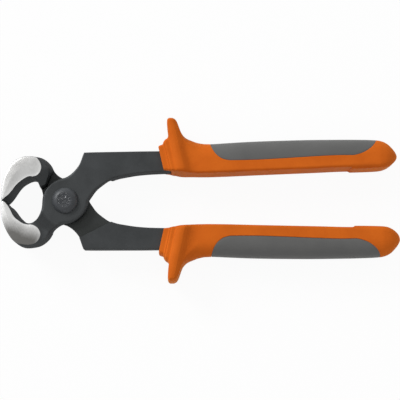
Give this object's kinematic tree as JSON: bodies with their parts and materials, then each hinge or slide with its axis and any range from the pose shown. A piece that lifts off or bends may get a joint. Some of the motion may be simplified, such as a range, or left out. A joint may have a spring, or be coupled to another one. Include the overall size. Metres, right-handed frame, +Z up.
{
  "type": "carpenter's end-cutting pincers",
  "caption": "Riveted end-cutting pincers: two crossed forged levers with wide curved jaws, and two-component handle sleeves with finger guards.",
  "frame": {"origin": "middle of the tool's outline, on the surface that it lies on", "axes": "+X towards the handle ends, jaws towards -X; +Y towards the handle of the front lever; +Z up, along the rivet, out of the face with the front lever"},
  "size_m": [0.2, 0.084, 0.02],
  "materials": {
    "front_lever": "dark satin finish on forged steel, jaw side faces ground bright",
    "back_lever": "dark satin finish on forged steel, jaw side faces ground bright",
    "pivot_rivet": "hammered and darkened",
    "upper_grip_body": "satin orange",
    "lower_grip_body": "satin orange",
    "upper_grip_inlay": "soft matt grey",
    "lower_grip_inlay": "soft matt grey"
  },
  "bodies": {
    "front_side": {"front_lever": "front_lever", "pivot_rivet": "pivot_rivet", "upper_grip_body": "upper_grip_body", "upper_grip_inlay": "upper_grip_inlay"},
    "back_side": {"back_lever": "back_lever", "lower_grip_body": "lower_grip_body", "lower_grip_inlay": "lower_grip_inlay"}
  },
  "joints": [
    {"name": "jaw_hinge", "type": "hinge", "parent": "front_side", "child": "back_side", "pos_m": [-0.0687, 0, 0.01], "axis": [0, 0, -1], "range_deg": [0, 40]}
  ]
}
